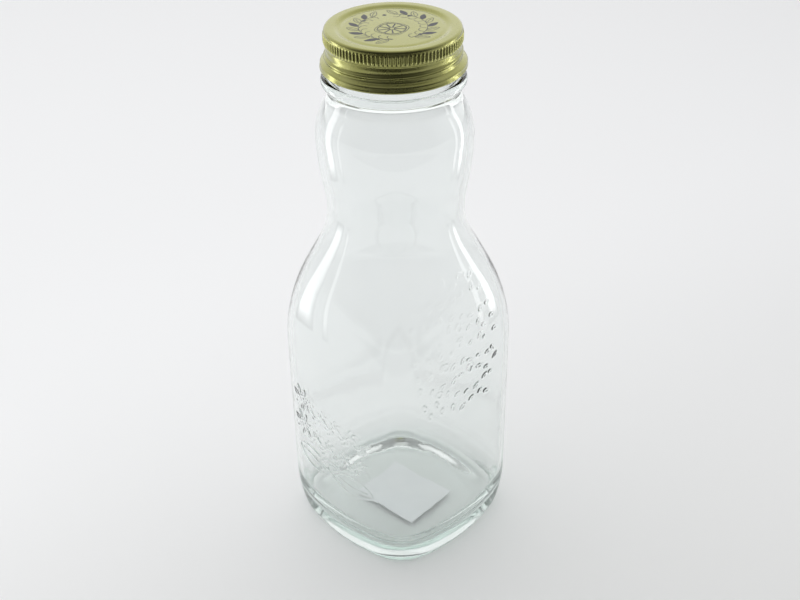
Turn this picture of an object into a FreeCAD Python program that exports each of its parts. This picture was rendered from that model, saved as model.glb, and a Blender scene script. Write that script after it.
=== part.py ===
import FreeCAD, Part
import os
from math import acos, asin, atan2, cos, degrees, hypot, pi, radians, sin, sqrt

os.makedirs("parts", exist_ok=True)

# A tall square glass bottle for juice: a body with crowned faces and round corners, a long shoulder that
# runs into a round waist, a swelling under the neck, and a finish closed by a rolled metal screw lid.
# Millimetres. The bottle stands on Z = 0 with its axis on Z, and its faces look along X and Y.

# Body: sections are squares of four shallow face arcs and four corner arcs, tangent to each other.
body_half_width = 49.75        # axis to the middle of a face
face_crown_radius = 105.0      # radius of the shallow face arcs
body_corner_radius = 25.29     # radius of the corner arcs
wall = 2.9                     # glass in the body
straight_bottom = 25.0         # where the heel ends and the straight side starts
straight_top = 109.0           # where the shoulder starts
heel_radius = 83.0             # long curve from the straight side down to the foot
foot_radius = 3.5              # small curve from the heel to the standing ring

# Base: a flat standing ring, a push-up that turns from square to round, and a thick floor.
standing_ring_width = 2.6      # flat ring that touches the table
push_up_margin = 16.25         # middle of a face to the round edge of the push-up
push_up_slope = 3.0            # width of the sloped edge round the flat middle
push_up_shelf = 2.2            # height of the round edge over the table
push_up_height = 3.4           # height of the flat middle over the table
base_glass = 5.4               # glass over the flat middle
floor_inset = 10.8             # inside of the wall to the edge of the flat floor
floor_squareness = 1.08        # the floor is a little squarer than the body
floor_curve_height = 16.0      # height of the curve from the floor into the wall

# Shoulder, waist and swelling: tangent arcs, round in section from the waist up.
shoulder_radius = 88.0
shoulder_slope = 29.0          # degrees from upright, of the straight part between the arcs
waist_lower_radius = 38.0
waist_radius = 32.3            # axis to glass at the narrowest
waist_upper_radius = 60.0
swell_bulge = 3.7              # swelling over the waist
swell_height = 37.0            # waist to swelling
neck_wall = 2.9                # glass in the waist and swelling

# Finish: the groove, the transfer bead and the round lip under the lid.
collar_radius = 31.0           # arc from the swelling up to the groove
finish_radius = 28.3           # axis to the glass inside the lid
finish_wall = 3.7              # glass in the finish
groove_stand = 1.7             # bottom of the groove over the finish
groove_length = 6.1
bead_stand = 4.2               # outside of the transfer bead over the finish
bead_section = 2.1             # radius of the bead's round section
skirt_clearance = 5.65         # middle of the bead to the foot of the lid
lip_rounding = 1.2
bore_curve_radius = 11.4       # inner curve from the swelling into the bore
bore_curve_height = 24.0       # height of the inner curve over the swelling

# Lid: thin rolled sheet with a channelled top, a knurled band, two rolled grooves, a flare and a curl.
lid_sheet = 0.45
lid_height = 18.0
thread_room = 0.65             # glass to the grooves of the lid
lid_edge_radius = 1.6          # rounding between the top and the side
rim_width = 4.15               # side of the lid to the channel
channel_width = 2.2
channel_depth = 0.8
panel_rise = 0.35              # panel over the channel's bottom
knurl_count = 105
knurl_depth = 0.38             # ridge over the plain side
knurl_drop = 1.7               # top of the lid to the knurled band
knurl_end = 0.7                # sloped end of each ridge
knurl_gap = 0.1                # knurled band to the groove under it
top_groove_height = 9.8        # foot of the lid to the groove under the knurling
thread_groove_height = 5.8     # foot of the lid to the groove that holds the glass thread
groove_depth = 0.55
groove_half_width = 1.4
flare_height = 4.35            # foot of the lid to the top of the flare
band_height = 2.5              # foot of the lid to the top of the wide band over the curl
band_set_in = 0.15             # wide band inside the outside of the curl
curl_stand = 2.55              # outside of the curl over the side of the lid
curl_section = 0.75            # radius of the curl's round section

# Seal ring and sticker.
liner_thickness = 1.1
liner_side_gap = 0.1           # seal ring to the channel and to the edge rounding of the lid
sticker_margin = 1.45          # corner of the sticker to the edge of the flat middle
sticker_shape = 39.4           # degrees, angle of its diagonal to its long side
sticker_thickness = 0.2
sticker_turn = 4.0             # degrees from the faces of the bottle
sticker_offset = (3.4, -1.7)   # middle of the sticker

# Radii that follow from the driving dimensions
push_up_radius = body_half_width - push_up_margin
push_up_flat_radius = push_up_radius - push_up_slope
swell_radius = waist_radius + swell_bulge
groove_radius = finish_radius + groove_stand
bead_reach = finish_radius + bead_stand
bore_radius = finish_radius - finish_wall
lid_radius = finish_radius + thread_room + groove_depth + lid_sheet
channel_outer_radius = lid_radius - rim_width
channel_inner_radius = channel_outer_radius - channel_width
curl_reach = lid_radius + curl_stand
liner_inner_radius = channel_outer_radius + lid_sheet + liner_side_gap
liner_outer_radius = lid_radius - lid_edge_radius - liner_side_gap

sticker_diagonal = 2 * (push_up_flat_radius - sticker_margin - hypot(*sticker_offset))
sticker_length = sticker_diagonal * cos(radians(sticker_shape))
sticker_width = sticker_diagonal * sin(radians(sticker_shape))

# Arc centres of the full square section, and the reach of its corners
face_centre = face_crown_radius - body_half_width
corner_gap = face_crown_radius - body_corner_radius
corner_centre = (sqrt(2 * corner_gap ** 2 - face_centre ** 2) - face_centre) / 2
body_corner_reach = corner_centre * sqrt(2) + body_corner_radius
floor_corner_reach = body_corner_reach - wall - floor_inset


# Tangent curves

def s_curve_radius(first_radius, run, rise):
    """Second radius of two tangent arcs that join two upright lines run apart and rise high."""
    return (run ** 2 + rise ** 2) / (2 * run) - first_radius


def s_curve(start, end, first_radius, second_radius):
    """Middle of the first arc, joint, and middle of the second arc between two upright tangents."""
    side = 1 if end[0] > start[0] else -1
    up = 1 if end[1] > start[1] else -1
    turn = asin(abs(end[1] - start[1]) / (first_radius + second_radius))

    def on_first(angle):
        return (start[0] + side * first_radius * (1 - cos(angle)), start[1] + up * first_radius * sin(angle))

    def on_second(angle):
        return (end[0] - side * second_radius * (1 - cos(angle)), end[1] - up * second_radius * sin(angle))

    return on_first(turn / 2), on_first(turn), on_second(turn / 2)


def vector(radius, height):
    return FreeCAD.Vector(radius, 0, height)


def line(start, end):
    return Part.makeLine(vector(*start), vector(*end))


def arc(start, middle, end):
    return Part.Arc(vector(*start), vector(*middle), vector(*end)).toShape()


def turned(edges):
    """Solid turned about the axis from a closed outline of edges."""
    face = Part.Face(Part.Wire(edges))
    return face.revolve(FreeCAD.Vector(0, 0, 0), FreeCAD.Vector(0, 0, 1), 360)


# Square sections

def section(height, reach, squareness):
    """Outline of a section: squareness 1 is the body's square, 0 is a circle."""
    corner = corner_centre * squareness
    back = face_centre * squareness
    corner_radius = reach - corner * sqrt(2)
    face_radius = corner_radius + hypot(corner + back, corner)
    split = atan2(corner_centre, corner_centre + face_centre)
    edges = []
    for quarter in range(4):
        facing = quarter * pi / 2

        def place(x, y):
            turned_x = x * cos(facing) - y * sin(facing)
            turned_y = x * sin(facing) + y * cos(facing)
            return FreeCAD.Vector(turned_x, turned_y, height)

        def on_face(angle):
            return place(face_radius * cos(angle) - back, face_radius * sin(angle))

        def on_corner(angle):
            return place(corner + corner_radius * cos(angle), corner + corner_radius * sin(angle))

        edges.append(Part.Arc(on_face(-split), on_face(0), on_face(split)).toShape())
        edges.append(Part.Arc(on_face(split), on_corner(pi / 4), on_corner(pi / 2 - split)).toShape())
    return Part.Wire(edges)


def lofted(sections):
    return Part.makeLoft([section(*each) for each in sections], True, False)


def extruded(reach, squareness, bottom, top):
    face = Part.Face(section(bottom, reach, squareness))
    return face.extrude(FreeCAD.Vector(0, 0, top - bottom))


# Heights that follow from the driving dimensions

slope = radians(shoulder_slope)
shoulder_fall = body_corner_reach - waist_radius
shoulder_straight = (shoulder_fall - (shoulder_radius + waist_lower_radius) * (1 - cos(slope))) / sin(slope)
shoulder_rise = (shoulder_radius + waist_lower_radius) * sin(slope) + shoulder_straight * cos(slope)
waist_height = straight_top + shoulder_rise
swell_centre = waist_height + swell_height
collar_angle = acos((groove_radius - swell_radius + collar_radius) / collar_radius)
groove_top = swell_centre + collar_radius * sin(collar_angle)
bead_centre = groove_top + groove_length + bead_section
lid_bottom = bead_centre + skirt_clearance
lid_top = lid_bottom + lid_height
lip_height = lid_top - lid_sheet - liner_thickness
floor_height = push_up_height + base_glass


def shoulder_reach(height):
    """Axis to the corner at a height between the straight side and the waist."""
    up = height - straight_top
    first_end = shoulder_radius * sin(slope)
    line_end = first_end + shoulder_straight * cos(slope)
    if up <= first_end:
        return body_corner_reach - shoulder_radius + sqrt(shoulder_radius ** 2 - up ** 2)
    if up <= line_end:
        line_start = body_corner_reach - shoulder_radius * (1 - cos(slope))
        return line_start - (up - first_end) * sin(slope) / cos(slope)
    return waist_radius + waist_lower_radius - sqrt(waist_lower_radius ** 2 - (waist_height - height) ** 2)


def shoulder_squareness(height):
    """Full square at the straight side, round at the waist, with a smooth change between."""
    share = (height - straight_top) / (waist_height - straight_top)
    return 1 - share ** 2 * (3 - 2 * share)


def shoulder_sections(inset):
    steps = 6
    heights = [straight_top + (waist_height - straight_top) * step / steps for step in range(steps + 1)]
    return [(height, shoulder_reach(height) - inset, shoulder_squareness(height)) for height in heights]


# Bottle

def heel_inset(height):
    """How far the heel stands in from the straight side at a height over the foot curve."""
    return heel_radius - sqrt(heel_radius ** 2 - (straight_bottom - height) ** 2)


def bottle_outside():
    foot_angle = asin((straight_bottom - foot_radius) / heel_radius)
    foot_top = foot_radius * (1 - sin(foot_angle))
    foot_centre = heel_inset(foot_top) + foot_radius * cos(foot_angle)
    foot = []
    for step in range(4):
        angle = -pi / 2 + (pi / 2 - foot_angle) * step / 3
        foot_reach = body_corner_reach - foot_centre + foot_radius * cos(angle)
        foot.append((foot_radius * (1 + sin(angle)), foot_reach, 1))
    heel_steps = 3
    for step in range(1, heel_steps + 1):
        height = foot_top + (straight_bottom - foot_top) * step / heel_steps
        foot.append((height, body_corner_reach - heel_inset(height), 1))
    body = lofted(foot)
    body = body.fuse(extruded(body_corner_reach, 1, straight_bottom, straight_top))
    body = body.fuse(lofted(shoulder_sections(0)))
    return body.fuse(neck_outside()), body_corner_reach - foot_centre


def neck_outside():
    waist = (waist_radius, waist_height)
    swell = (swell_radius, swell_centre)
    groove_start = (groove_radius, groove_top)
    groove_end = (groove_radius, groove_top + groove_length)
    upper_radius = s_curve_radius(waist_upper_radius, swell_radius - waist_radius, swell_height)
    lower_middle, joint, upper_middle = s_curve(waist, swell, waist_upper_radius, upper_radius)
    collar_turn = asin((groove_top - swell_centre) / collar_radius) / 2
    collar_middle = (
        swell_radius - collar_radius * (1 - cos(collar_turn)),
        swell_centre + collar_radius * sin(collar_turn),
    )
    bead_axis = bead_reach - bead_section
    bead_bottom = (groove_radius, bead_centre - sqrt(bead_section ** 2 - (groove_radius - bead_axis) ** 2))
    bead_top = (finish_radius, bead_centre + sqrt((2 * bead_section - bead_stand) * bead_stand))
    lip_side = (finish_radius, lip_height - lip_rounding)
    lip_corner = lip_rounding * (1 - sin(pi / 4))
    lip_middle = (finish_radius - lip_corner, lip_height - lip_corner)
    lip_flat = (finish_radius - lip_rounding, lip_height)
    return turned([
        line((0, waist_height), waist),
        arc(waist, lower_middle, joint),
        arc(joint, upper_middle, swell),
        arc(swell, collar_middle, groove_start),
        line(groove_start, bead_bottom),
        arc(bead_bottom, (bead_reach, bead_centre), bead_top),
        line(bead_top, lip_side),
        arc(lip_side, lip_middle, lip_flat),
        line(lip_flat, (0, lip_height)),
        line((0, lip_height), (0, waist_height)),
    ])


def bottle_inside():
    sections = []
    steps = 4
    for step in range(steps + 1):
        angle = pi / 2 * step / steps
        rise = floor_curve_height * (1 - cos(angle))
        reach = floor_corner_reach + floor_inset * sin(angle)
        squareness = floor_squareness + (1 - floor_squareness) * sin(angle)
        sections.append((floor_height + rise, reach, squareness))
    inside = lofted(sections)
    floor_top = floor_height + floor_curve_height
    inside = inside.fuse(extruded(body_corner_reach - wall, 1, floor_top, straight_top))
    inside = inside.fuse(lofted(shoulder_sections(wall)))
    return inside.fuse(neck_inside())


def neck_inside():
    waist = (waist_radius - wall, waist_height)
    swell = (swell_radius - neck_wall, swell_centre)
    bore = (bore_radius, swell_centre + bore_curve_height)
    mouth = (bore_radius, lip_height)
    above = (bore_radius, lip_height + 1)
    lower_radius = waist_upper_radius + wall
    upper_radius = s_curve_radius(lower_radius, swell[0] - waist[0], swell_height)
    lower_middle, joint, upper_middle = s_curve(waist, swell, lower_radius, upper_radius)
    swell_arc = s_curve_radius(bore_curve_radius, swell[0] - bore_radius, bore_curve_height)
    swell_middle, bore_joint, bore_middle = s_curve(swell, bore, swell_arc, bore_curve_radius)
    return turned([
        line((0, waist_height), waist),
        arc(waist, lower_middle, joint),
        arc(joint, upper_middle, swell),
        arc(swell, swell_middle, bore_joint),
        arc(bore_joint, bore_middle, bore),
        line(bore, mouth),
        line(mouth, above),
        line(above, (0, above[1])),
        line((0, above[1]), (0, waist_height)),
    ])


def push_up(standing_reach):
    ring = [
        (0, standing_reach - standing_ring_width, 1),
        (push_up_shelf, push_up_radius, 0),
        (push_up_height, push_up_flat_radius, 0),
    ]
    return Part.makeLoft([section(*each) for each in ring], True, True)


def bottle():
    outside, standing_reach = bottle_outside()
    shape = outside.cut(bottle_inside()).cut(push_up(standing_reach))
    return shape.removeSplitter()


# Lid

def lid_outline(offset):
    """Closed half outline of the lid, set in by the sheet thickness for its inside."""
    top = lid_top - offset
    side = lid_radius - offset
    edge = lid_edge_radius - offset
    rim_start = (channel_outer_radius + offset, top)
    channel = (channel_inner_radius + (channel_outer_radius - channel_inner_radius) / 2, top - channel_depth)
    panel = (channel_inner_radius, top - channel_depth + panel_rise)
    edges = [line((0, panel[1]), panel), line(panel, channel), line(channel, rim_start)]
    edge_start = (side - edge, top)
    corner = edge * (1 - sin(pi / 4))
    edge_end = (side, top - edge)
    edges.append(line(rim_start, edge_start))
    edges.append(arc(edge_start, (side - corner, top - corner), edge_end))
    here = edge_end
    for groove_height in (top_groove_height, thread_groove_height):
        middle = lid_bottom + groove_height
        groove_start = (side, middle + groove_half_width)
        groove_end = (side, middle - groove_half_width)
        edges.append(line(here, groove_start))
        edges.append(arc(groove_start, (side - groove_depth, middle), groove_end))
        here = groove_end
    flare_start = (side, lid_bottom + flare_height)
    curl_rise = sqrt(curl_section ** 2 - (curl_section - band_set_in) ** 2)
    band_reach = curl_reach - band_set_in - offset
    band_top = (band_reach, lid_bottom + band_height)
    curl_top = (band_reach, lid_bottom + curl_section + curl_rise)
    edges.append(line(here, flare_start))
    edges.append(line(flare_start, band_top))
    edges.append(line(band_top, curl_top))
    return edges, curl_top


def lid():
    outer, curl_top = lid_outline(0)
    bottom = lid_bottom
    curl_middle = bottom + curl_section
    curl_under = (curl_reach - curl_section, bottom)
    outer.append(arc(curl_top, (curl_reach, curl_middle), curl_under))
    outer.append(line(curl_under, (0, bottom)))
    outer.append(line((0, bottom), (0, lid_top - channel_depth + panel_rise)))
    shell = turned(outer)

    inner, band_end = lid_outline(lid_sheet)
    curl_inside = (curl_reach - 2 * curl_section, band_end[1])
    below = (curl_inside[0], bottom - 1)
    inner.append(line(band_end, curl_inside))
    inner.append(line(curl_inside, below))
    inner.append(line(below, (0, below[1])))
    inner.append(line((0, below[1]), (0, lid_top - lid_sheet - channel_depth + panel_rise)))
    return shell.fuse(knurling()).cut(turned(inner))


def knurling():
    """Band of ridges with sloped ends."""
    top = lid_top - knurl_drop
    low = lid_bottom + top_groove_height + groove_half_width + knurl_gap
    tip = lid_radius + knurl_depth
    points = []
    for ridge in range(knurl_count):
        for share, radius in ((0.25, tip), (0.75, lid_radius - knurl_depth / 4)):
            angle = 2 * pi * (ridge + share) / knurl_count
            points.append(FreeCAD.Vector(radius * cos(angle), radius * sin(angle), low))
    points.append(points[0])
    ridges = Part.Face(Part.makePolygon(points)).extrude(FreeCAD.Vector(0, 0, top - low))
    root = lid_radius - knurl_depth
    blank = turned([
        line((0, low), (root, low)),
        line((root, low), (tip, low + knurl_end)),
        line((tip, low + knurl_end), (tip, top - knurl_end)),
        line((tip, top - knurl_end), (root, top)),
        line((root, top), (0, top)),
        line((0, top), (0, low)),
    ])
    return ridges.common(blank)


# Seal ring and sticker

def lid_liner():
    outer = Part.makeCylinder(liner_outer_radius, liner_thickness, FreeCAD.Vector(0, 0, lip_height))
    inner = Part.makeCylinder(liner_inner_radius, liner_thickness, FreeCAD.Vector(0, 0, lip_height))
    return outer.cut(inner)


def base_sticker():
    corner = FreeCAD.Vector(-sticker_length / 2, -sticker_width / 2, 0)
    sheet = Part.makeBox(sticker_length, sticker_width, sticker_thickness, corner)
    sheet.rotate(FreeCAD.Vector(0, 0, 0), FreeCAD.Vector(0, 0, 1), sticker_turn)
    sheet.translate(FreeCAD.Vector(*sticker_offset, push_up_height - sticker_thickness))
    return sheet


nodes = {
    "bottle": bottle(),
    "lid": lid(),
    "lid_liner": lid_liner(),
    "base_sticker": base_sticker(),
}
for name, shape in nodes.items():
    shape.exportStep(f"parts/{name}.step")
    print(name, round(shape.Volume), "mm3", "valid" if shape.isValid() else "INVALID")
print("corner", round(body_corner_reach, 3), "waist", round(waist_height, 2), "bore", round(bore_radius, 2))
print("bead", round(bead_centre, 2), "lip", round(lip_height, 2), "lid top", round(lid_top, 2))
print("sticker", round(sticker_length, 2), round(sticker_width, 2))
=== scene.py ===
import bpy
from math import acos, asin, atan2, cos, degrees, hypot, pi, radians, sin, sqrt
from mathutils import Matrix, Vector, kdtree, noise


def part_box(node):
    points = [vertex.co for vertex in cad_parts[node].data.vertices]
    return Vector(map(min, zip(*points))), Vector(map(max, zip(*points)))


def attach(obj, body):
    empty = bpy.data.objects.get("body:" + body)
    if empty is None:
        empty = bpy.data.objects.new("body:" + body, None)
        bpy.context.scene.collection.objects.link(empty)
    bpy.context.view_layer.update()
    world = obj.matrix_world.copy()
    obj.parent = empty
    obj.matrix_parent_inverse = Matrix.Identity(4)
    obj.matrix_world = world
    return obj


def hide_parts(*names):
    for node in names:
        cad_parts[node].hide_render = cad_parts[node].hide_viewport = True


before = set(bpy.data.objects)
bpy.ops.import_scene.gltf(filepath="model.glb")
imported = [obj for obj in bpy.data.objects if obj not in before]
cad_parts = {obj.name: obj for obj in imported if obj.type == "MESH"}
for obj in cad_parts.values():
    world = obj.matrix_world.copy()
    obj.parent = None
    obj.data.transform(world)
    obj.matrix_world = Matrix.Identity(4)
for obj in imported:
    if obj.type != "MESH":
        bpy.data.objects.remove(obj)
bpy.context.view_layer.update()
mm = 0.001


# small helpers shared by all pieces

def deselectAll():
    if bpy.context.mode != "OBJECT":
        bpy.ops.object.mode_set(mode="OBJECT")
    bpy.ops.object.select_all(action="DESELECT")


def makeActive(piece):
    deselectAll()
    piece.select_set(True)
    bpy.context.view_layer.objects.active = piece


def lineTo(outline, reach, height, steps=1, square=0, squareEnd=None):
    # straight run from the last point, evenly divided
    startReach, startHeight = outline[-1][:2]
    squareEnd = square if squareEnd is None else squareEnd
    for step in range(1, steps + 1):
        share = step / steps
        outline.append((
            startReach + (reach - startReach) * share,
            startHeight + (height - startHeight) * share,
            square + (squareEnd - square) * share,
        ))


def arcTo(outline, centre, radius, startAngle, endAngle, steps, square=0, squareEnd=None):
    # arc about a centre, angles in degrees from straight outwards
    squareEnd = square if squareEnd is None else squareEnd
    for step in range(1, steps + 1):
        share = step / steps
        angle = radians(startAngle + (endAngle - startAngle) * share)
        outline.append((
            centre[0] + radius * cos(angle),
            centre[1] + radius * sin(angle),
            square + (squareEnd - square) * share,
        ))


def spinOutline(name, outline, segments):
    # draws the half outline in the XZ plane and spins it round the axis
    mesh = bpy.data.meshes.new(name)
    edges = [(index, index + 1) for index in range(len(outline) - 1)]
    mesh.from_pydata([(point[0], 0, point[1]) for point in outline], edges, [])
    piece = bpy.data.objects.new(name, mesh)
    bpy.context.collection.objects.link(piece)
    makeActive(piece)
    bpy.ops.object.mode_set(mode="EDIT")
    bpy.ops.mesh.select_all(action="SELECT")
    bpy.ops.mesh.spin(steps=segments, angle=2 * pi, center=(0, 0, 0), axis=(0, 0, 1))
    bpy.ops.mesh.select_all(action="SELECT")
    bpy.ops.mesh.remove_doubles(threshold=0.002 * mm)
    bpy.ops.mesh.normals_make_consistent(inside=False)
    bpy.ops.object.mode_set(mode="OBJECT")
    return piece


# the glass bottle: a lathe-like stack of rings, pressed square in the body

bottleSizes = {
    "halfWidth": 49.75 * mm,        # axis to the middle of a face
    "cornerReach": 55.7 * mm,       # axis to the outside of a corner
    "crownRadius": 105 * mm,        # shallow arc of each face
    "wall": 2.9 * mm,
    "straightBottom": 25 * mm,
    "straightTop": 109 * mm,
    "heelRadius": 83 * mm,
    "footRadius": 3.5 * mm,
    "ringWidth": 2.6 * mm,
    "pushUpFlat": 26 * mm,
    "pushUpHeight": 3.4 * mm,
    "baseGlass": 5.4 * mm,
    "floorReach": 42 * mm,
    "floorSquare": 1.08,
    "floorCurve": 16 * mm,
    "shoulderRadius": 88 * mm,
    "shoulderSlope": 29,            # degrees from upright
    "waistLowerRadius": 38 * mm,
    "waistRadius": 32.3 * mm,
    "waistUpperRadius": 60 * mm,
    "swellRadius": 36 * mm,
    "swellRise": 37 * mm,
    "collarRadius": 31 * mm,
    "grooveRadius": 30 * mm,
    "grooveLength": 6.1 * mm,
    "beadReach": 32.5 * mm,
    "beadSection": 2.1 * mm,
    "finishRadius": 28.3 * mm,
    "lipRounding": 1.2 * mm,
    "boreRadius": 24.6 * mm,
    "boreCurve": 11.4 * mm,
    "boreRise": 24 * mm,
    "threadStart": 4.5 * mm,        # lip to the middle of the thread where it starts
    "threadRise": 3.8 * mm,         # in one turn
    "threadTurns": 1.4,
    "threadStand": 0.5 * mm,
    "threadHalfWidth": 1.3 * mm,
    "segments": 192,
}


class Section:
    # rounded square between four face arcs and four corner arcs, worked out once
    toFace = bottleSizes["crownRadius"] - bottleSizes["halfWidth"]
    toCorner = bottleSizes["crownRadius"] - bottleSizes["cornerReach"]
    corner = (toCorner ** 2 - toFace ** 2) / (2 * toFace - 2 * sqrt(2) * toCorner)
    back = toFace
    split = atan2(corner, corner + back)


def glassReach(turn, reach, square):
    # axis to the glass in one direction, for a section of this corner reach and squareness
    if abs(square) < 1e-4:
        return reach
    folded = abs((turn + pi / 4) % (pi / 2) - pi / 4)
    corner = Section.corner * square
    back = Section.back * square
    cornerRadius = reach - corner * sqrt(2)
    faceRadius = cornerRadius + hypot(corner + back, corner)
    joint = atan2(faceRadius * sin(Section.split), faceRadius * cos(Section.split) - back)
    if folded <= joint:
        return -back * cos(folded) + sqrt(faceRadius ** 2 - (back * sin(folded)) ** 2)
    along = corner * (cos(folded) + sin(folded))
    across = corner * (cos(folded) - sin(folded))
    return along + sqrt(cornerRadius ** 2 - across ** 2)


def shoulderLine():
    s = bottleSizes
    slope = radians(s["shoulderSlope"])
    fall = s["cornerReach"] - s["waistRadius"]
    arcs = s["shoulderRadius"] + s["waistLowerRadius"]
    straight = (fall - arcs * (1 - cos(slope))) / sin(slope)
    waist = s["straightTop"] + arcs * sin(slope) + straight * cos(slope)
    return slope, straight, waist


def bottleHeights():
    s = bottleSizes
    heights = {}
    heights["waist"] = shoulderLine()[2]
    heights["swell"] = heights["waist"] + s["swellRise"]
    turn = acos((s["grooveRadius"] - s["swellRadius"] + s["collarRadius"]) / s["collarRadius"])
    heights["groove"] = heights["swell"] + s["collarRadius"] * sin(turn)
    heights["bead"] = heights["groove"] + s["grooveLength"] + s["beadSection"]
    heights["lip"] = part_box("bottle")[1].z
    heights["floor"] = s["pushUpHeight"] + s["baseGlass"]
    return heights


heights = bottleHeights()


def wallReach(height):
    # corner reach of the outside, from the heel to the waist
    s = bottleSizes
    slope, straight, waist = shoulderLine()
    if height < s["straightBottom"]:
        down = s["straightBottom"] - height
        return s["cornerReach"] - s["heelRadius"] + sqrt(s["heelRadius"] ** 2 - down ** 2)
    up = height - s["straightTop"]
    if up <= 0:
        return s["cornerReach"]
    firstEnd = s["shoulderRadius"] * sin(slope)
    if up <= firstEnd:
        return s["cornerReach"] - s["shoulderRadius"] + sqrt(s["shoulderRadius"] ** 2 - up ** 2)
    if up <= firstEnd + straight * cos(slope):
        turned = s["cornerReach"] - s["shoulderRadius"] * (1 - cos(slope))
        return turned - (up - firstEnd) * sin(slope) / cos(slope)
    return s["waistRadius"] + s["waistLowerRadius"] - sqrt(s["waistLowerRadius"] ** 2 - (waist - height) ** 2)


def wallSquare(height):
    # full square up to the shoulder, round at the waist
    s = bottleSizes
    share = min(max((height - s["straightTop"]) / (heights["waist"] - s["straightTop"]), 0), 1)
    return 1 - share ** 2 * (3 - 2 * share)


def wallRun(outline, inset, bottom, top, spacing):
    # rings up or down the wall at an even spacing
    steps = max(1, round(abs(top - bottom) / spacing))
    for step in range(1, steps + 1):
        height = bottom + (top - bottom) * step / steps
        outline.append((wallReach(height) - inset, height, wallSquare(height)))


def tangentArcs(outline, start, end, firstRadius, secondRadius, firstSteps, secondSteps):
    # two arcs between upright tangents at start and end
    side = 1 if end[0] > start[0] else -1
    up = 1 if end[1] > start[1] else -1
    turn = asin(abs(end[1] - start[1]) / (firstRadius + secondRadius))
    for step in range(1, firstSteps + 1):
        angle = turn * step / firstSteps
        reach = start[0] + side * firstRadius * (1 - cos(angle))
        outline.append((reach, start[1] + up * firstRadius * sin(angle), 0))
    for step in range(secondSteps - 1, -1, -1):
        angle = turn * step / secondSteps
        reach = end[0] - side * secondRadius * (1 - cos(angle))
        outline.append((reach, end[1] - up * secondRadius * sin(angle), 0))


def secondRadius(firstRadius, start, end):
    run, rise = abs(end[0] - start[0]), abs(end[1] - start[1])
    return (run ** 2 + rise ** 2) / (2 * run) - firstRadius


def bottleOutline():
    s = bottleSizes
    h = heights
    footAngle = asin((s["straightBottom"] - s["footRadius"]) / s["heelRadius"])
    footTop = s["footRadius"] * (1 - sin(footAngle))
    standing = wallReach(footTop) - s["footRadius"] * cos(footAngle)
    ringInside = standing - s["ringWidth"]

    outline = [(0, s["pushUpHeight"], 0)]
    lineTo(outline, s["pushUpFlat"], s["pushUpHeight"], 5)
    for step in range(1, 21):
        share = step / 20
        height = s["pushUpHeight"] * (0.5 + 0.5 * cos(pi * share)) ** 0.8
        square = max(share - 0.35, 0) / 0.65
        outline.append((s["pushUpFlat"] + (ringInside - s["pushUpFlat"]) * share, height, square))
    lineTo(outline, standing, 0, 2, 1)
    arcTo(outline, (standing, s["footRadius"]), s["footRadius"], -90, -degrees(footAngle), 8, 1)
    wallRun(outline, 0, footTop, s["straightBottom"], 1.8 * mm)
    wallRun(outline, 0, s["straightBottom"], s["straightTop"], 1.8 * mm)
    wallRun(outline, 0, s["straightTop"], h["waist"], 1.6 * mm)

    waist, swell = (s["waistRadius"], h["waist"]), (s["swellRadius"], h["swell"])
    second = secondRadius(s["waistUpperRadius"], waist, swell)
    tangentArcs(outline, waist, swell, s["waistUpperRadius"], second, 7, 12)
    collarTurn = degrees(asin((h["groove"] - h["swell"]) / s["collarRadius"]))
    arcTo(outline, (s["swellRadius"] - s["collarRadius"], h["swell"]), s["collarRadius"], 0, collarTurn, 12)

    beadAxis = s["beadReach"] - s["beadSection"]
    beadLow = -degrees(acos((s["grooveRadius"] - beadAxis) / s["beadSection"]))
    beadHigh = degrees(acos((s["finishRadius"] - beadAxis) / s["beadSection"]))
    beadStart = h["bead"] + s["beadSection"] * sin(radians(beadLow))
    lineTo(outline, s["grooveRadius"], beadStart, 2)
    arcTo(outline, (beadAxis, h["bead"]), s["beadSection"], beadLow, beadHigh, 18)
    lineTo(outline, s["finishRadius"], h["lip"] - s["lipRounding"], 44)
    rounding = s["lipRounding"]
    arcTo(outline, (s["finishRadius"] - rounding, h["lip"] - rounding), rounding, 0, 90, 5)
    lineTo(outline, s["boreRadius"] + s["lipRounding"] / 2, h["lip"], 2)
    arcTo(outline, (s["boreRadius"] + rounding / 2, h["lip"] - rounding / 2), rounding / 2, 90, 180, 3)

    innerWaist = (s["waistRadius"] - s["wall"], h["waist"])
    innerSwell = (s["swellRadius"] - s["wall"], h["swell"])
    bore = (s["boreRadius"], h["swell"] + s["boreRise"])
    lineTo(outline, *bore, 6)
    secondCurve = secondRadius(s["boreCurve"], bore, innerSwell)
    tangentArcs(outline, bore, innerSwell, s["boreCurve"], secondCurve, 6, 10)
    lower = s["waistUpperRadius"] + s["wall"]
    tangentArcs(outline, innerSwell, innerWaist, secondRadius(lower, innerSwell, innerWaist), lower, 12, 7)
    floorTop = h["floor"] + s["floorCurve"]
    wallRun(outline, s["wall"], h["waist"], s["straightTop"], 2.2 * mm)
    wallRun(outline, s["wall"], s["straightTop"], floorTop, 6 * mm)
    inset = s["cornerReach"] - s["wall"] - s["floorReach"]
    curveSteps = 14
    for step in range(1, curveSteps + 1):
        angle = pi / 2 * step / curveSteps
        outline.append((
            s["floorReach"] + inset * cos(angle),
            h["floor"] + s["floorCurve"] * (1 - sin(angle)),
            s["floorSquare"] + (1 - s["floorSquare"]) * cos(angle),
        ))
    lineTo(outline, 0, h["floor"], 14, s["floorSquare"], 0)
    return outline


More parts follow.
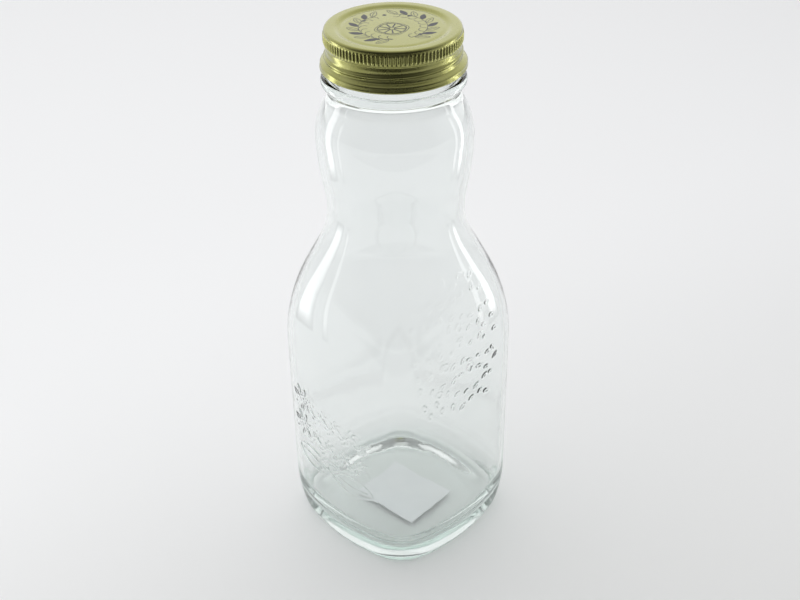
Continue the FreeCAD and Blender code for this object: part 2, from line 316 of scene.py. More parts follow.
def pressSquare(piece, outline):
    # every ring of the spun outline takes its own squareness
    tree = kdtree.KDTree(len(outline))
    for index, point in enumerate(outline):
        tree.insert((point[0], point[1], 0), index)
    tree.balance()
    for vertex in piece.data.vertices:
        reach = hypot(vertex.co.x, vertex.co.y)
        index = tree.find((reach, vertex.co.z, 0))[1]
        if reach > 0.01 * mm and outline[index][2]:
            share = glassReach(atan2(vertex.co.y, vertex.co.x), reach, outline[index][2]) / reach
            vertex.co.x *= share
            vertex.co.y *= share


def rollGlassThread(piece):
    # the round thread under the lid climbs the finish
    s = bottleSizes
    for vertex in piece.data.vertices:
        reach = hypot(vertex.co.x, vertex.co.y)
        if vertex.co.z < heights["bead"] or abs(reach - s["finishRadius"]) > 0.05 * mm:
            continue
        turn = atan2(vertex.co.y, vertex.co.x) / (2 * pi) + 0.5
        for lap in (0, 1):
            turns = turn + lap
            ends = min(turns / 0.06, (s["threadTurns"] - turns) / 0.06, 1)
            middle = heights["lip"] - s["threadStart"] - turns * s["threadRise"]
            away = abs(vertex.co.z - middle) / s["threadHalfWidth"]
            if ends > 0 and away < 1:
                push = s["threadStand"] * ends * (0.5 + 0.5 * cos(pi * away)) / reach
                vertex.co.x *= 1 + push
                vertex.co.y *= 1 + push


# raised line ornament on two faces: vines on one, a tree's foliage on the other

reliefSizes = {
    "vineStand": 0.24 * mm,
    "foliageStand": 0.45 * mm,
    "halfWidth": 0.75 * mm,
    "near": 2.1 * mm,               # faces this near to a line are divided
    "cuts": 3,
    "pointSpacing": 0.4 * mm,
}


def smoothLine(corners, closed=False):
    # evenly spaced points on a round line through a few corners, in millimetres
    count = len(corners)
    points = []
    for index in range(count if closed else count - 1):
        four = [corners[(index + k) % count] if closed else corners[min(max(index + k, 0), count - 1)]
                for k in (-1, 0, 1, 2)]
        length = hypot(four[2][0] - four[1][0], four[2][1] - four[1][1])
        steps = max(2, round(length * mm / reliefSizes["pointSpacing"]))
        for step in range(steps + 1):
            t = step / steps
            weights = (
                (-t + 2 * t ** 2 - t ** 3) / 2,
                (2 - 5 * t ** 2 + 3 * t ** 3) / 2,
                (t + 4 * t ** 2 - 3 * t ** 3) / 2,
                (-t ** 2 + t ** 3) / 2,
            )
            points.append(tuple(sum(w * c[axis] for w, c in zip(weights, four)) for axis in (0, 1)))
    return points


def placed(shape, x, y, angle, size):
    # a small shape turned, scaled and moved on a face
    turn = radians(angle)
    c, n = size * cos(turn), size * sin(turn)
    return [(x + u * c - v * n, y + u * n + v * c) for u, v in shape]


leafShape = [(0, 0), (0.3, 0.2), (0.65, 0.2), (1, 0), (0.65, -0.18), (0.3, -0.2)]
veinShape = [(0.12, 0), (0.45, 0.04), (0.8, 0)]
commaShape = [(0, 0), (0.35, 0.25), (0.75, 0.22), (1, -0.1)]
ringShape = [(1, 0), (0, 1), (-1, 0), (0, -1)]


def rosette(x, y, size, petals):
    lines = [smoothLine(placed(ringShape, x, y, 0, size * 0.3), True)]
    for index in range(petals):
        angle = 360 * index / petals + 12
        start = placed([(0.4, 0)], x, y, angle, size)[0]
        lines.append(smoothLine(placed(leafShape, *start, angle, size * 0.75), True))
    return lines


def vineFaceLines():
    lines = []
    for height, phase in ((79, 0), (63, 1)):
        vine = [(-15 + index * 5, height - 0.4 * index + 1.7 * (-1) ** (index + phase)) for index in range(9)]
        lines.append(smoothLine(vine))
        for index, (x, y) in enumerate(vine[:-1]):
            side = (-1) ** (index + phase)
            for angle, size in ((side * 75, 5.2), (side * 30, 4.4), (side * 120, 4.0)):
                lines.append(smoothLine(placed(commaShape, x + 0.6, y - side * 0.8, -angle + 180, size)))
        lines += rosette(-22.5, height + 3, 6.6, 7)
    for x, y, angle, size in ((-27, 50, -8, 27), (26, 45, 172, 27), (-8, 50, 12, 14)):
        lines.append(smoothLine(placed(leafShape, x, y, angle, size), True))
        lines.append(smoothLine(placed(veinShape, x, y, angle, size)))
    return lines


def foliageFaceLines():
    # loose leaf marks in the shape of a tree's crown, with a few round fruits
    lines = []
    rows = 9
    for row in range(rows):
        height = 94 + row * 8
        half = 27 * sqrt(max(1 - ((height - 122) / 46) ** 2, 0.05))
        count = max(2, round(half / 3.0))
        for index in range(count):
            wander = noise.noise(Vector((row * 3.1, index * 2.7, 0)))
            x = -half - 6 + 2 * half * (index + 0.5) / count + 3 * wander
            y = height + 5 * noise.noise(Vector((index * 1.9, row * 4.3, 5)))
            angle = 25 - 2.2 * x + 90 * wander
            size = 5 + 3 * noise.noise(Vector((x, y, 9)))
            lines.append(smoothLine(placed(leafShape, x - 2, y, angle, size * 0.7), True))
    for x, y, size in ((-17, 121, 2), (-2, 114, 2.2), (8, 127, 2), (-7, 138, 1.8), (-21, 107, 1.9)):
        lines.append(smoothLine(placed(ringShape, x, y, 0, size), True))
    return lines


def onOutside(place):
    reach = hypot(place[0], place[1])
    wall = glassReach(atan2(place[1], place[0]), wallReach(place[2]), wallSquare(place[2]))
    return abs(reach - wall) < 0.4 * mm


def raiseLines(piece, lines, stand, forward, across):
    # divides the glass near the lines and lifts it along them
    s = reliefSizes
    points = [(x * mm, y * mm, 0) for line in lines for x, y in line]
    tree = kdtree.KDTree(len(points))
    for index, point in enumerate(points):
        tree.insert(point, index)
    tree.balance()
    low, high = min(point[1] for point in points), max(point[1] for point in points)

    def nearest(place):
        return tree.find((place.dot(across), place.z, 0))[2]

    def onFace(place, limit):
        inside = low - limit < place.z < high + limit and place.dot(forward) > 20 * mm
        return inside and nearest(place) < limit and onOutside(place)

    makeActive(piece)
    mesh = piece.data
    for part in (mesh.vertices, mesh.edges, mesh.polygons):
        part.foreach_set("select", [False] * len(part))
    for face in mesh.polygons:
        face.select = onFace(face.center, s["near"])
    bpy.ops.object.mode_set(mode="EDIT")
    bpy.ops.mesh.select_mode(type="FACE")
    bpy.ops.mesh.subdivide(number_cuts=s["cuts"])
    bpy.ops.object.mode_set(mode="OBJECT")
    for vertex in mesh.vertices:
        place = vertex.co.copy()
        if not onFace(place, s["near"] * 2):
            continue
        turn = atan2(place.y, place.x)
        reach = glassReach(turn, wallReach(place.z), wallSquare(place.z))
        away = nearest(place) / s["halfWidth"]
        push = stand * (0.5 + 0.5 * cos(pi * away)) if away < 1 else 0
        vertex.co.x = reach * cos(turn) + forward.x * push
        vertex.co.y = reach * sin(turn) + forward.y * push


def makeBottle():
    outline = bottleOutline()
    piece = spinOutline("glassBottle", outline, bottleSizes["segments"])
    pressSquare(piece, outline)
    rollGlassThread(piece)
    raiseLines(piece, vineFaceLines(), reliefSizes["vineStand"], Vector((0, -1, 0)), Vector((1, 0, 0)))
    raiseLines(piece, foliageFaceLines(), reliefSizes["foliageStand"], Vector((1, 0, 0)), Vector((0, 1, 0)))
    makeActive(piece)
    bpy.ops.object.shade_smooth()
    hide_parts("bottle")
    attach(piece, "root")
    return piece


bottle = makeBottle()
print("bottle:", len(bottle.data.polygons), "faces")


# the screw lid: rolled sheet with a channelled top, knurling, a rolled thread, a flare and a curl

lidSizes = {
    "sheet": 0.45 * mm,
    "height": 18 * mm,
    "radius": 30.1 * mm,            # axis to the plain side
    "edgeRadius": 1.4 * mm,
    "channelOuter": 25.8 * mm,
    "channelInner": 23.6 * mm,
    "channelDepth": 1.0 * mm,
    "panelRise": 0.3 * mm,
    "panelCrown": 0.2 * mm,
    "knurlCount": 105,
    "knurlDepth": 0.6 * mm,
    "knurlLow": 11.6 * mm,          # heights over the foot of the lid
    "knurlHigh": 16.2 * mm,
    "sideMarks": [                  # height over the foot, and how far the plain side stands out there
        (11.4 * mm, 0),
        (10.6 * mm, -0.45 * mm),
        (9.3 * mm, -0.35 * mm),
        (7.2 * mm, -0.5 * mm),
        (4.3 * mm, -0.1 * mm),
        (2.6 * mm, 2.1 * mm),
        (1.2 * mm, 2.25 * mm),
    ],
    "curlReach": 32.5 * mm,
    "curlSection": 0.75 * mm,
    "threadRise": 3.8 * mm,         # in one turn
    "threadHeight": 5.9 * mm,       # where the thread passes the left of the front
    "threadDepth": 0.85 * mm,
    "threadHalfWidth": 1.35 * mm,
    "stepsPerRidge": 6,
}


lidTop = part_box("lid")[1].z


def lidSide(height):
    # outer radius of the side over the foot of the lid, before knurling and thread
    s = lidSizes
    marks = s["sideMarks"]
    if height >= marks[0][0]:
        return s["radius"]
    for (high, outer), (low, inner) in zip(marks, marks[1:]):
        if height >= low:
            share = (high - height) / (high - low)
            return s["radius"] + outer + (inner - outer) * (1 - cos(pi * share)) / 2
    return s["radius"] + marks[-1][1]


def topHeight(reach):
    # crowned panel, a soft channel and the slope up to the rim
    s = lidSizes
    top = lidTop
    panel = top - s["channelDepth"] + s["panelRise"]
    low = s["channelInner"] - 0.4 * mm
    if reach < low - 1.6 * mm:
        return panel + s["panelCrown"] * (1 - (reach / low) ** 2)
    if reach < low:
        share = (low - reach) / (1.6 * mm)
        edge = s["panelCrown"] * (1 - (1 - 1.6 * mm / low) ** 2)
        return top - s["channelDepth"] + (s["panelRise"] + edge) * (1 - cos(pi * share)) / 2
    share = min((reach - low) / (s["channelOuter"] - low), 1)
    return top - s["channelDepth"] * (1 + cos(pi * share)) / 2


def lidOutline():
    s = lidSizes
    top = lidTop
    foot = top - s["height"]
    panel = top - s["channelDepth"] + s["panelRise"]
    sheet = s["sheet"]
    outline = [(0, panel + s["panelCrown"], 0)]
    for step in range(1, 37):
        reach = s["channelOuter"] * step / 36
        outline.append((reach, topHeight(reach), 0))
    lineTo(outline, s["radius"] - s["edgeRadius"], top, 3)
    arcTo(outline, (s["radius"] - s["edgeRadius"], top - s["edgeRadius"]), s["edgeRadius"], 90, 0, 8)
    steps = 44
    sideTop = s["height"] - s["edgeRadius"]
    for step in range(1, steps + 1):
        height = sideTop + (1.25 * mm - sideTop) * step / steps
        outline.append((lidSide(height), foot + height, 0))
    curlCentre = (s["curlReach"] - s["curlSection"], foot + s["curlSection"])
    arcTo(outline, curlCentre, s["curlSection"], 30, -200, 14)
    innerStart = 2 * s["curlSection"]
    innerSteps = 14
    for step in range(innerSteps + 1):
        height = innerStart + (sideTop - innerStart) * step / innerSteps
        outline.append((min(lidSide(height), s["curlReach"] - 0.3 * mm) - sheet, foot + height, 0))
    arcTo(outline, (s["radius"] - s["edgeRadius"], top - s["edgeRadius"]), s["edgeRadius"] - sheet, 0, 90, 3)
    lineTo(outline, s["channelOuter"] + sheet, top - sheet)
    lineTo(outline, s["channelInner"] - sheet, top - s["channelDepth"] - sheet, 2)
    lineTo(outline, s["channelInner"] - 2.4 * mm, panel - sheet, 2)
    lineTo(outline, 0, panel - sheet + s["panelCrown"], 4)
    return outline


def rollLid(piece):
    # knurling and the helical thread, pushed out of the plain side
    s = lidSizes
    top = lidTop
    foot = top - s["height"]
    for vertex in piece.data.vertices:
        reach = hypot(vertex.co.x, vertex.co.y)
        height = vertex.co.z - foot
        if reach < lidSide(height) - s["sheet"] / 3 or height < 1.6 * mm:
            continue
        turn = atan2(vertex.co.y, vertex.co.x)
        push = 0
        ends = min(height - s["knurlLow"], s["knurlHigh"] - height) / (0.8 * mm)
        if ends > 0:
            ridge = 0.5 + 0.5 * cos(turn * s["knurlCount"])
            push += s["knurlDepth"] * (ridge - 0.25) * min(ends, 1)
        fromLeft = (turn + radians(105)) % (2 * pi)
        for lap in (-1, 0):
            laps = lap + fromLeft / (2 * pi)
            ends = min((laps + 0.72) / 0.08, (0.6 - laps) / 0.08, 1)
            away = abs(height - s["threadHeight"] - laps * s["threadRise"]) / s["threadHalfWidth"]
            if ends > 0 and away < 1:
                push += s["threadDepth"] * ends * (0.5 + 0.5 * cos(pi * away))
        vertex.co.x *= 1 + push / reach
        vertex.co.y *= 1 + push / reach


def makeLid():
    segments = lidSizes["knurlCount"] * lidSizes["stepsPerRidge"]
    piece = spinOutline("screwLid", lidOutline(), segments)
    rollLid(piece)
    makeActive(piece)
    bpy.ops.object.shade_smooth()
    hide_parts("lid")
    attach(piece, "root")
    return piece


lid = makeLid()
print("lid:", len(lid.data.polygons), "faces")


# line print on the lid: a citrus slice in a wreath of leaves

printSizes = {
    "spread": 1.15,                 # size of the whole design
    "lineWidth": 0.32 * mm,
    "stand": 0.012 * mm,
    "turn": 60,                     # degrees the design is turned on the lid
}


def printRibbon(line, points, faces):
    # flat strip along a line, just over the panel
    half = printSizes["lineWidth"] / 2
    first = len(points)
    for index, (x, y) in enumerate(line):
        before, after = line[max(index - 1, 0)], line[min(index + 1, len(line) - 1)]
        along = Vector((after[0] - before[0], after[1] - before[1]))
        if along.length < 1e-9:
            along = Vector((1, 0))
        along.normalize()
        for side in (1, -1):
            place = Vector((x * mm - side * along.y * half, y * mm + side * along.x * half, 0))
            place.z = topHeight(place.length) + printSizes["stand"]
            points.append(place)
    for index in range(len(line) - 1):
        corner = first + 2 * index
        faces.append((corner, corner + 1, corner + 3, corner + 2))


def printPatch(outline, points, faces):
    # filled shape, fanned from its middle
    middle = Vector((sum(x for x, y in outline), sum(y for x, y in outline), 0)) * mm / len(outline)
    first = len(points)
    for x, y in [(middle.x / mm, middle.y / mm)] + list(outline):
        place = Vector((x * mm, y * mm, 0))
        place.z = topHeight(place.length) + printSizes["stand"]
        points.append(place)
    count = len(outline)
    for index in range(count):
        faces.append((first, first + 1 + index, first + 1 + (index + 1) % count))


def printDesign():
    lines, patches = [], []
    lines.append(smoothLine(placed(ringShape, -1, -2, 0, 6.6), True))
    lines.append(smoothLine(placed(ringShape, -1, -2, 0, 5.7), True))
    for index in range(9):
        angle = index * 40
        wedge = [(0.15, 0.02), (0.86, 0.26), (0.95, 0), (0.86, -0.26), (0.15, -0.02)]
        lines.append(smoothLine(placed(wedge, -1, -2, angle, 5.5)))
    for side in (-1, 1):
        for index in range(9):
            angle = 90 + side * (22 + 17 * index)
            x, y = placed([(1, 0)], 0, 0, angle, 13.2)[0]
            shape = placed(leafShape, x, y, angle - side * 50, 5.6)
            if index % 2:
                patches.append(smoothLine(shape, True))
            else:
                lines.append(smoothLine(shape, True))
                lines.append(smoothLine(placed(veinShape, x, y, angle - side * 50, 5.6)))
            x, y = placed([(1, 0)], 0, 0, angle + side * 6, 12.6)[0]
            lines.append(smoothLine(placed(commaShape, x, y, angle + 180 + side * 40, 3.4)))
        stem = [placed([(1, 0)], 0, 0, 90 + side * turn, 13)[0] for turn in range(15, 166, 25)]
        lines.append(smoothLine(stem))
    for x, y in ((0, 12.5), (9, 9), (-9, 9), (7.6, -10.5), (-8.6, -10.5)):
        patches.append(smoothLine(placed(ringShape, x, y, 0, 0.9), True))
    return lines, patches


def printPlace(point):
    turn = radians(printSizes["turn"])
    x, y = printSizes["spread"] * point[0], printSizes["spread"] * point[1]
    return x * cos(turn) - y * sin(turn), x * sin(turn) + y * cos(turn)


def makePrint():
    points, faces = [], []
    lines, patches = printDesign()
    for line in lines:
        printRibbon([printPlace(point) for point in line], points, faces)
    for patch in patches:
        printPatch([printPlace(point) for point in patch], points, faces)
    mesh = bpy.data.meshes.new("lidPrint")
    mesh.from_pydata(points, [], faces)
    piece = bpy.data.objects.new("lidPrint", mesh)
    bpy.context.collection.objects.link(piece)
    makeActive(piece)
    bpy.ops.object.mode_set(mode="EDIT")
    bpy.ops.mesh.select_all(action="SELECT")
    bpy.ops.mesh.normals_make_consistent(inside=False)
    bpy.ops.object.mode_set(mode="OBJECT")
    for face in mesh.polygons:
        if face.normal.z < 0:
            face.flip()
    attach(piece, "root")
    return piece


lidPrint = makePrint()
print("print on the lid:", len(lidPrint.data.polygons), "faces")


# the paper sticker under the base, read through the glass

stickerSizes = {
    "length": 39 * mm,
    "width": 32 * mm,
    "thickness": 0.12 * mm,
    "turn": 4,
    "middle": (3.4 * mm, -1.7 * mm),
    "gap": 0.03 * mm,               # glue under the glass
    "edgeWander": 0.25 * mm,
}


def makeSticker():
    s = stickerSizes
    deselectAll()
    bpy.ops.mesh.primitive_grid_add(x_subdivisions=48, y_subdivisions=40, size=1)
    piece = bpy.context.object
    piece.name = "baseSticker"
    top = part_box("base_sticker")[1].z - s["gap"] - s["thickness"]
    turn = Matrix.Rotation(radians(s["turn"]), 4, "Z")
    for vertex in piece.data.vertices:
        x, y = vertex.co.x * s["length"], vertex.co.y * s["width"]
        edge = max(abs(vertex.co.x), abs(vertex.co.y)) > 0.499
        wander = s["edgeWander"] * noise.noise(Vector((x * 400, y * 400, 0))) if edge else 0
        shrink = abs(wander) * 2
        place = turn @ Vector((x * (1 - shrink / s["length"]), y * (1 - shrink / s["width"]), 0))
        vertex.co = place + Vector((*s["middle"], top))
    solid = piece.modifiers.new("paper", "SOLIDIFY")
    solid.thickness = s["thickness"]
    solid.offset = 1
    makeActive(piece)
    bpy.ops.object.modifier_apply(modifier="paper")
    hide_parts("base_sticker")
    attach(piece, "root")
    return piece


sticker = makeSticker()
print("sticker:", len(sticker.data.polygons), "faces")


# materials

def newMaterial(name):
    material = bpy.data.materials.new(name)
    material.use_nodes = True
    material.node_tree.nodes.clear()
    return material, material.node_tree


def addNode(tree, kind, place=(0, 0), **values):
    node = tree.nodes.new(kind)
    node.location = place
    for key, value in values.items():
        setattr(node, key, value)
    return node


def mottleGroup():
    # broad and fine variation, and a small relief from the fine one
    group = bpy.data.node_groups.new("mottle", "ShaderNodeTree")
    inputs = (("Vector", "Vector"), ("Broad Scale", "Float"), ("Fine Scale", "Float"), ("Relief", "Float"))
    for name, kind in inputs:
        group.interface.new_socket(name, in_out="INPUT", socket_type="NodeSocket" + kind)
    for name, kind in (("Broad", "Float"), ("Fine", "Float"), ("Normal", "Vector")):
        group.interface.new_socket(name, in_out="OUTPUT", socket_type="NodeSocket" + kind)
    start = addNode(group, "NodeGroupInput", (-600, 0))
    end = addNode(group, "NodeGroupOutput", (600, 0))
    relief = addNode(group, "ShaderNodeBump", (300, -200))
    relief.inputs["Distance"].default_value = 0.0001
    for name, detail, low in (("Broad", 2, 200), ("Fine", 5, -200)):
        noise = addNode(group, "ShaderNodeTexNoise", (-300, low))
        noise.inputs["Detail"].default_value = detail
        spread = addNode(group, "ShaderNodeMapRange", (0, low))
        spread.inputs["From Min"].default_value = 0.3
        spread.inputs["From Max"].default_value = 0.7
        group.links.new(start.outputs["Vector"], noise.inputs["Vector"])
        group.links.new(start.outputs[name + " Scale"], noise.inputs["Scale"])
        group.links.new(noise.outputs["Fac"], spread.inputs["Value"])
        group.links.new(spread.outputs["Result"], end.inputs[name])
        if name == "Fine":
            group.links.new(spread.outputs["Result"], relief.inputs["Height"])
    group.links.new(start.outputs["Relief"], relief.inputs["Strength"])
    group.links.new(relief.outputs["Normal"], end.inputs["Normal"])
    return group


mottle = mottleGroup()


def addMottle(tree, broad, fine, relief):
    place = addNode(tree, "ShaderNodeTexCoord", (-1100, 0))
    node = addNode(tree, "ShaderNodeGroup", (-900, 0), node_tree=mottle)
    node.inputs["Broad Scale"].default_value = broad
    node.inputs["Fine Scale"].default_value = fine
    node.inputs["Relief"].default_value = relief
    tree.links.new(place.outputs["Object"], node.inputs["Vector"])
    return node


def blend(tree, mask, first, second, height):
    node = addNode(tree, "ShaderNodeMix", (-500, height), data_type="RGBA")
    node.inputs["A"].default_value = (*first, 1)
    node.inputs["B"].default_value = (*second, 1)
    tree.links.new(mask, node.inputs["Factor"])
    return node.outputs["Result"]


def between(tree, mask, low, high, height):
    node = addNode(tree, "ShaderNodeMapRange", (-500, height))
    node.inputs["To Min"].default_value = low
    node.inputs["To Max"].default_value = high
    tree.links.new(mask, node.inputs["Value"])
    return node.outputs["Result"]


def glassMaterial():
    material, tree = newMaterial("clearGlass")
    output = addNode(tree, "ShaderNodeOutputMaterial", (600, 0))
    glass = addNode(tree, "ShaderNodeBsdfPrincipled", (0, 0))
    vary = addMottle(tree, 25, 70, 0.25)
    tint = blend(tree, vary.outputs["Broad"], (0.985, 0.995, 0.99), (0.975, 0.988, 0.985), 200)
    tree.links.new(tint, glass.inputs["Base Color"])
    tree.links.new(vary.outputs["Normal"], glass.inputs["Normal"])
    glass.inputs["Roughness"].default_value = 0.0
    glass.inputs["IOR"].default_value = 1.5
    glass.inputs["Transmission Weight"].default_value = 1.0
    lightPath = addNode(tree, "ShaderNodeLightPath", (0, 400))
    clear = addNode(tree, "ShaderNodeBsdfTransparent", (0, -400))
    clear.inputs["Color"].default_value = (0.975, 0.985, 0.98, 1)
    mix = addNode(tree, "ShaderNodeMixShader", (300, 0))
    tree.links.new(lightPath.outputs["Is Shadow Ray"], mix.inputs["Fac"])
    tree.links.new(glass.outputs["BSDF"], mix.inputs[1])
    tree.links.new(clear.outputs["BSDF"], mix.inputs[2])
    tree.links.new(mix.outputs["Shader"], output.inputs["Surface"])
    depth = addNode(tree, "ShaderNodeVolumeAbsorption", (300, -300))
    depth.inputs["Color"].default_value = (0.8, 0.88, 0.85, 1)
    depth.inputs["Density"].default_value = 20
    tree.links.new(depth.outputs["Volume"], output.inputs["Volume"])
    return material


def goldMaterial():
    material, tree = newMaterial("goldLacquer")
    output = addNode(tree, "ShaderNodeOutputMaterial", (600, 0))
    metal = addNode(tree, "ShaderNodeBsdfPrincipled", (0, 0))
    vary = addMottle(tree, 90, 1600, 0.12)
    colour = blend(tree, vary.outputs["Broad"], (0.33, 0.33, 0.1), (0.39, 0.39, 0.14), 200)
    rough = between(tree, vary.outputs["Broad"], 0.22, 0.32, -100)
    tree.links.new(colour, metal.inputs["Base Color"])
    tree.links.new(rough, metal.inputs["Roughness"])
    tree.links.new(vary.outputs["Normal"], metal.inputs["Normal"])
    metal.inputs["Metallic"].default_value = 1.0
    metal.inputs["Coat Weight"].default_value = 0.4
    metal.inputs["Coat Roughness"].default_value = 0.12
    tree.links.new(metal.outputs["BSDF"], output.inputs["Surface"])
    return material


def coatedMaterial(name, first, second, scales, relief, roughness):
    # paper, ink and compound: two close colours by both variations
    material, tree = newMaterial(name)
    output = addNode(tree, "ShaderNodeOutputMaterial", (600, 0))
    paint = addNode(tree, "ShaderNodeBsdfPrincipled", (0, 0))
    vary = addMottle(tree, scales[0], scales[1], relief)
    both = addNode(tree, "ShaderNodeMath", (-700, 200), operation="MULTIPLY")
    tree.links.new(vary.outputs["Broad"], both.inputs[0])
    tree.links.new(vary.outputs["Fine"], both.inputs[1])
    colour = blend(tree, both.outputs["Value"], first, second, 200)
    rough = between(tree, vary.outputs["Fine"], roughness[0], roughness[1], -100)
    tree.links.new(colour, paint.inputs["Base Color"])
    tree.links.new(rough, paint.inputs["Roughness"])
    tree.links.new(vary.outputs["Normal"], paint.inputs["Normal"])
    tree.links.new(paint.outputs["BSDF"], output.inputs["Surface"])
    return material


bottle.data.materials.append(glassMaterial())
lid.data.materials.append(goldMaterial())
ink = coatedMaterial("printInk", (0.04, 0.04, 0.05), (0.1, 0.1, 0.09), (300, 2500), 0.1, (0.4, 0.55))
lidPrint.data.materials.append(ink)
paper = coatedMaterial("stickerPaper", (0.93, 0.91, 0.94), (0.84, 0.83, 0.87), (160, 1200), 0.5, (0.6, 0.85))
sticker.data.materials.append(paper)
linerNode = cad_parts["lid_liner"]
linerNode.data.materials.clear()
seal = coatedMaterial("sealCompound", (0.5, 0.5, 0.48), (0.42, 0.42, 0.4), (200, 1500), 0.3, (0.5, 0.7))
linerNode.data.materials.append(seal)

# light, floor and camera

cameraSizes = {
    "distance": 491.0 * mm,         # from the bottle's axis, level
    "height": 457.87 * mm,
    "heading": 45 - 0.128,          # degrees, looking between the two front faces
    "pitch": 33.814,                # degrees down
    "roll": -0.933,
    "side": 45,                     # degrees, where the camera stands
    "lens": 53.676,
}


def makeCamera():
    s = cameraSizes
    data = bpy.data.cameras.new("camera")
    camera = bpy.data.objects.new("camera", data)
    bpy.context.collection.objects.link(camera)
    side = radians(s["side"])
    camera.location = (s["distance"] * sin(side), -s["distance"] * cos(side), s["height"])
    turn = Matrix.Rotation(radians(s["heading"]), 3, "Z")
    tilt = Matrix.Rotation(pi / 2 - radians(s["pitch"]), 3, "X")
    roll = Matrix.Rotation(radians(s["roll"]), 3, "Z")
    camera.rotation_euler = (turn @ tilt @ roll).to_euler()
    data.lens = s["lens"]
    data.sensor_width = 36
    data.clip_start = 0.01
    bpy.context.scene.camera = camera


makeCamera()


stageSizes = {
    "floor": 9.0,
    # the floor's two colours are painted light and painted shade, not a real change in the floor
    "paintedFloorLight": (0.91, 0.915, 0.925),
    "paintedFloorShade": (0.73, 0.735, 0.73),
    "paintedShadeReach": 0.55,              # distance over which the floor's painted shade turns into painted light
    "matNear": 0.42,                # dark floor out of the picture, towards the camera
    "matFar": 2.2,
    "matWidth": 1.6,
    "worldBack": 1.2,              # light from straight behind the bottle
    "worldFront": 0.05,             # light from where the camera stands
    "overheadPower": 25,
    "overheadSize": 2.6,
    "overheadPlace": (-0.35, 0.05, 1.8),    # right, away and up, seen from the camera
    "bounces": 24,                  # light crosses the thick base many times
    "panelDistance": 0.32,
    "panelTop": 0.36,
    "panels": [                     # side seen from the camera, angle behind square, width, strength
        ("leftPanel", -1, 13, 0.11, 3.8),
        ("leftStrip", -1, -8, 0.03, 2.2),
        ("rightPanel", 1, 14, 0.06, 4.6),
        ("rightStrip", 1, 1, 0.04, 2.8),
    ],
}


def cameraSide(right, forward, height):
    # a place given as seen from the camera: to the right, away from it, and up
    side = radians(cameraSizes["side"])
    return Vector((right * cos(side) - forward * sin(side), right * sin(side) + forward * cos(side), height))


# floor colour painted lighter away from the camera and to the left, darker nearer it and to the right:
# painted light and painted shade for the fall of light
def floorMaterial():
    s = stageSizes
    material, tree = newMaterial("paleFloorPaintedShade")
    output = addNode(tree, "ShaderNodeOutputMaterial", (600, 0))
    paint = addNode(tree, "ShaderNodeBsdfPrincipled", (300, 0))
    place = addNode(tree, "ShaderNodeTexCoord", (-800, 0))
    along = addNode(tree, "ShaderNodeVectorMath", (-600, 0))
    along.operation = "DOT_PRODUCT"
    along.inputs[1].default_value = cameraSide(-0.35, 0.94, 0)
    share = addNode(tree, "ShaderNodeMapRange", (-400, 0))
    share.interpolation_type = "SMOOTHSTEP"
    share.inputs["From Min"].default_value = -s["paintedShadeReach"] / 2
    share.inputs["From Max"].default_value = s["paintedShadeReach"] / 2
    # mix of the painted shade colour and the painted light colour
    paintedShadeTone = addNode(tree, "ShaderNodeMix", (-200, 0))
    paintedShadeTone.data_type = "RGBA"
    paintedShadeTone.inputs["A"].default_value = (*s["paintedFloorShade"], 1)
    paintedShadeTone.inputs["B"].default_value = (*s["paintedFloorLight"], 1)
    tree.links.new(place.outputs["Object"], along.inputs[0])
    tree.links.new(along.outputs["Value"], share.inputs["Value"])
    tree.links.new(share.outputs["Result"], paintedShadeTone.inputs["Factor"])
    tree.links.new(paintedShadeTone.outputs["Result"], paint.inputs["Base Color"])
    paint.inputs["Roughness"].default_value = 0.7
    tree.links.new(paint.outputs["BSDF"], output.inputs["Surface"])
    return material


def makeStage():
    s = stageSizes
    deselectAll()
    bpy.ops.mesh.primitive_plane_add(size=s["floor"], location=(0, 0, 0))
    floor = bpy.context.object
    floor.name = "floor"
    floor.data.materials.append(floorMaterial())

    deselectAll()
    place = cameraSide(0, -(s["matNear"] + s["matFar"]) / 2, 1 * mm)
    bpy.ops.mesh.primitive_plane_add(size=1, location=place, rotation=(0, 0, radians(cameraSizes["side"])))
    mat = bpy.context.object
    mat.name = "darkMat"
    mat.scale = (s["matWidth"], s["matFar"] - s["matNear"], 1)
    cloth = coatedMaterial("darkCloth", (0.03, 0.03, 0.03), (0.02, 0.02, 0.02), (40, 400), 0.1, (0.85, 0.95))
    mat.data.materials.append(cloth)
    mat.visible_camera = False
    mat.visible_diffuse = False
    mat.visible_transmission = False
    mat.visible_shadow = False


def makeWorld():
    # bright behind, dark where the camera stands
    s = stageSizes
    world = bpy.data.worlds.new("studio")
    bpy.context.scene.world = world
    world.use_nodes = True
    tree = world.node_tree
    background = tree.nodes["Background"]
    place = addNode(tree, "ShaderNodeTexCoord", (-800, 0))
    along = addNode(tree, "ShaderNodeVectorMath", (-600, 0))
    along.operation = "DOT_PRODUCT"
    along.inputs[1].default_value = cameraSide(0, -1, 0)
    tree.links.new(place.outputs["Generated"], along.inputs[0])
    front = addNode(tree, "ShaderNodeMapRange", (-400, 0))
    front.inputs["From Min"].default_value = -0.9
    front.inputs["From Max"].default_value = 0.55
    front.inputs["To Min"].default_value = s["worldBack"]
    front.inputs["To Max"].default_value = s["worldFront"]
    tree.links.new(along.outputs["Value"], front.inputs["Value"])
    background.inputs["Color"].default_value = (1, 1, 1, 1)
    tree.links.new(front.outputs["Result"], background.inputs["Strength"])


def makeOverhead():
    # large soft light above, left out of the reflections
    data = bpy.data.lights.new("overhead", "AREA")
    data.shape = "SQUARE"
    data.size = stageSizes["overheadSize"]
    data.energy = stageSizes["overheadPower"]
    light = bpy.data.objects.new("overhead", data)
    bpy.context.collection.objects.link(light)
    light.location = cameraSide(*stageSizes["overheadPlace"])
    light.rotation_euler = light.location.to_track_quat("Z", "Y").to_euler()
    light.visible_camera = False
    light.visible_glossy = False
    light.visible_transmission = False


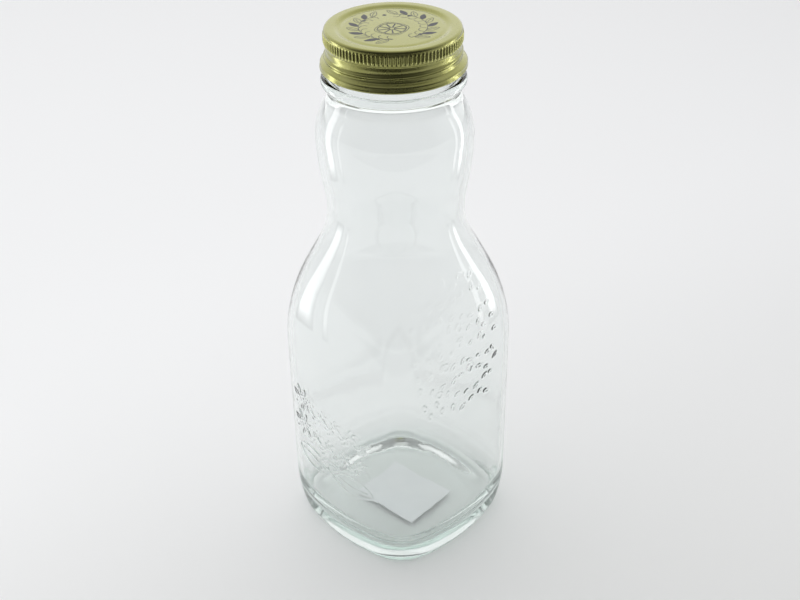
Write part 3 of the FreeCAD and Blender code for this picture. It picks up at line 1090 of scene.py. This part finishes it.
def panelMaterial(strength):
    # soft-edged light panel
    material, tree = newMaterial("lightPanel")
    output = addNode(tree, "ShaderNodeOutputMaterial", (600, 0))
    light = addNode(tree, "ShaderNodeEmission", (300, 0))
    place = addNode(tree, "ShaderNodeTexCoord", (-800, 0))
    split = addNode(tree, "ShaderNodeSeparateXYZ", (-600, 0))
    tree.links.new(place.outputs["Object"], split.inputs[0])
    shares = []
    for axis, inner in (("X", 0.2), ("Y", 0.34)):
        away = addNode(tree, "ShaderNodeMath", (-400, -150 * len(shares)))
        away.operation = "ABSOLUTE"
        tree.links.new(split.outputs[axis], away.inputs[0])
        share = addNode(tree, "ShaderNodeMapRange", (-200, -150 * len(shares)))
        share.interpolation_type = "SMOOTHSTEP"
        share.inputs["From Min"].default_value = 0.5
        share.inputs["From Max"].default_value = inner
        share.inputs["To Max"].default_value = strength if axis == "X" else 1.0
        tree.links.new(away.outputs["Value"], share.inputs["Value"])
        shares.append(share)
    product = addNode(tree, "ShaderNodeMath", (100, 0))
    product.operation = "MULTIPLY"
    tree.links.new(shares[0].outputs["Result"], product.inputs[0])
    tree.links.new(shares[1].outputs["Result"], product.inputs[1])
    tree.links.new(product.outputs["Value"], light.inputs["Strength"])
    tree.links.new(light.outputs["Emission"], output.inputs["Surface"])
    return material


def makePanels():
    s = stageSizes
    for name, side, behind, width, strength in s["panels"]:
        turn = radians(behind)
        reach = s["panelDistance"]
        place = cameraSide(side * reach * cos(turn), reach * sin(turn), s["panelTop"] / 2)
        facing = (Vector((0, 0, place.z)) - place).to_track_quat("Z", "Y")
        deselectAll()
        bpy.ops.mesh.primitive_plane_add(size=1, location=place, rotation=facing.to_euler())
        panel = bpy.context.object
        panel.name = name
        panel.scale = (width, s["panelTop"], 1)
        panel.data.materials.append(panelMaterial(strength))
        panel.visible_camera = False
        panel.visible_diffuse = False
        panel.visible_transmission = False
        panel.visible_shadow = False


makeStage()
makeWorld()
makeOverhead()
makePanels()
for name in ("max_bounces", "glossy_bounces", "transmission_bounces"):
    setattr(bpy.context.scene.cycles, name, stageSizes["bounces"])
bpy.context.scene.view_settings.view_transform = "Standard"
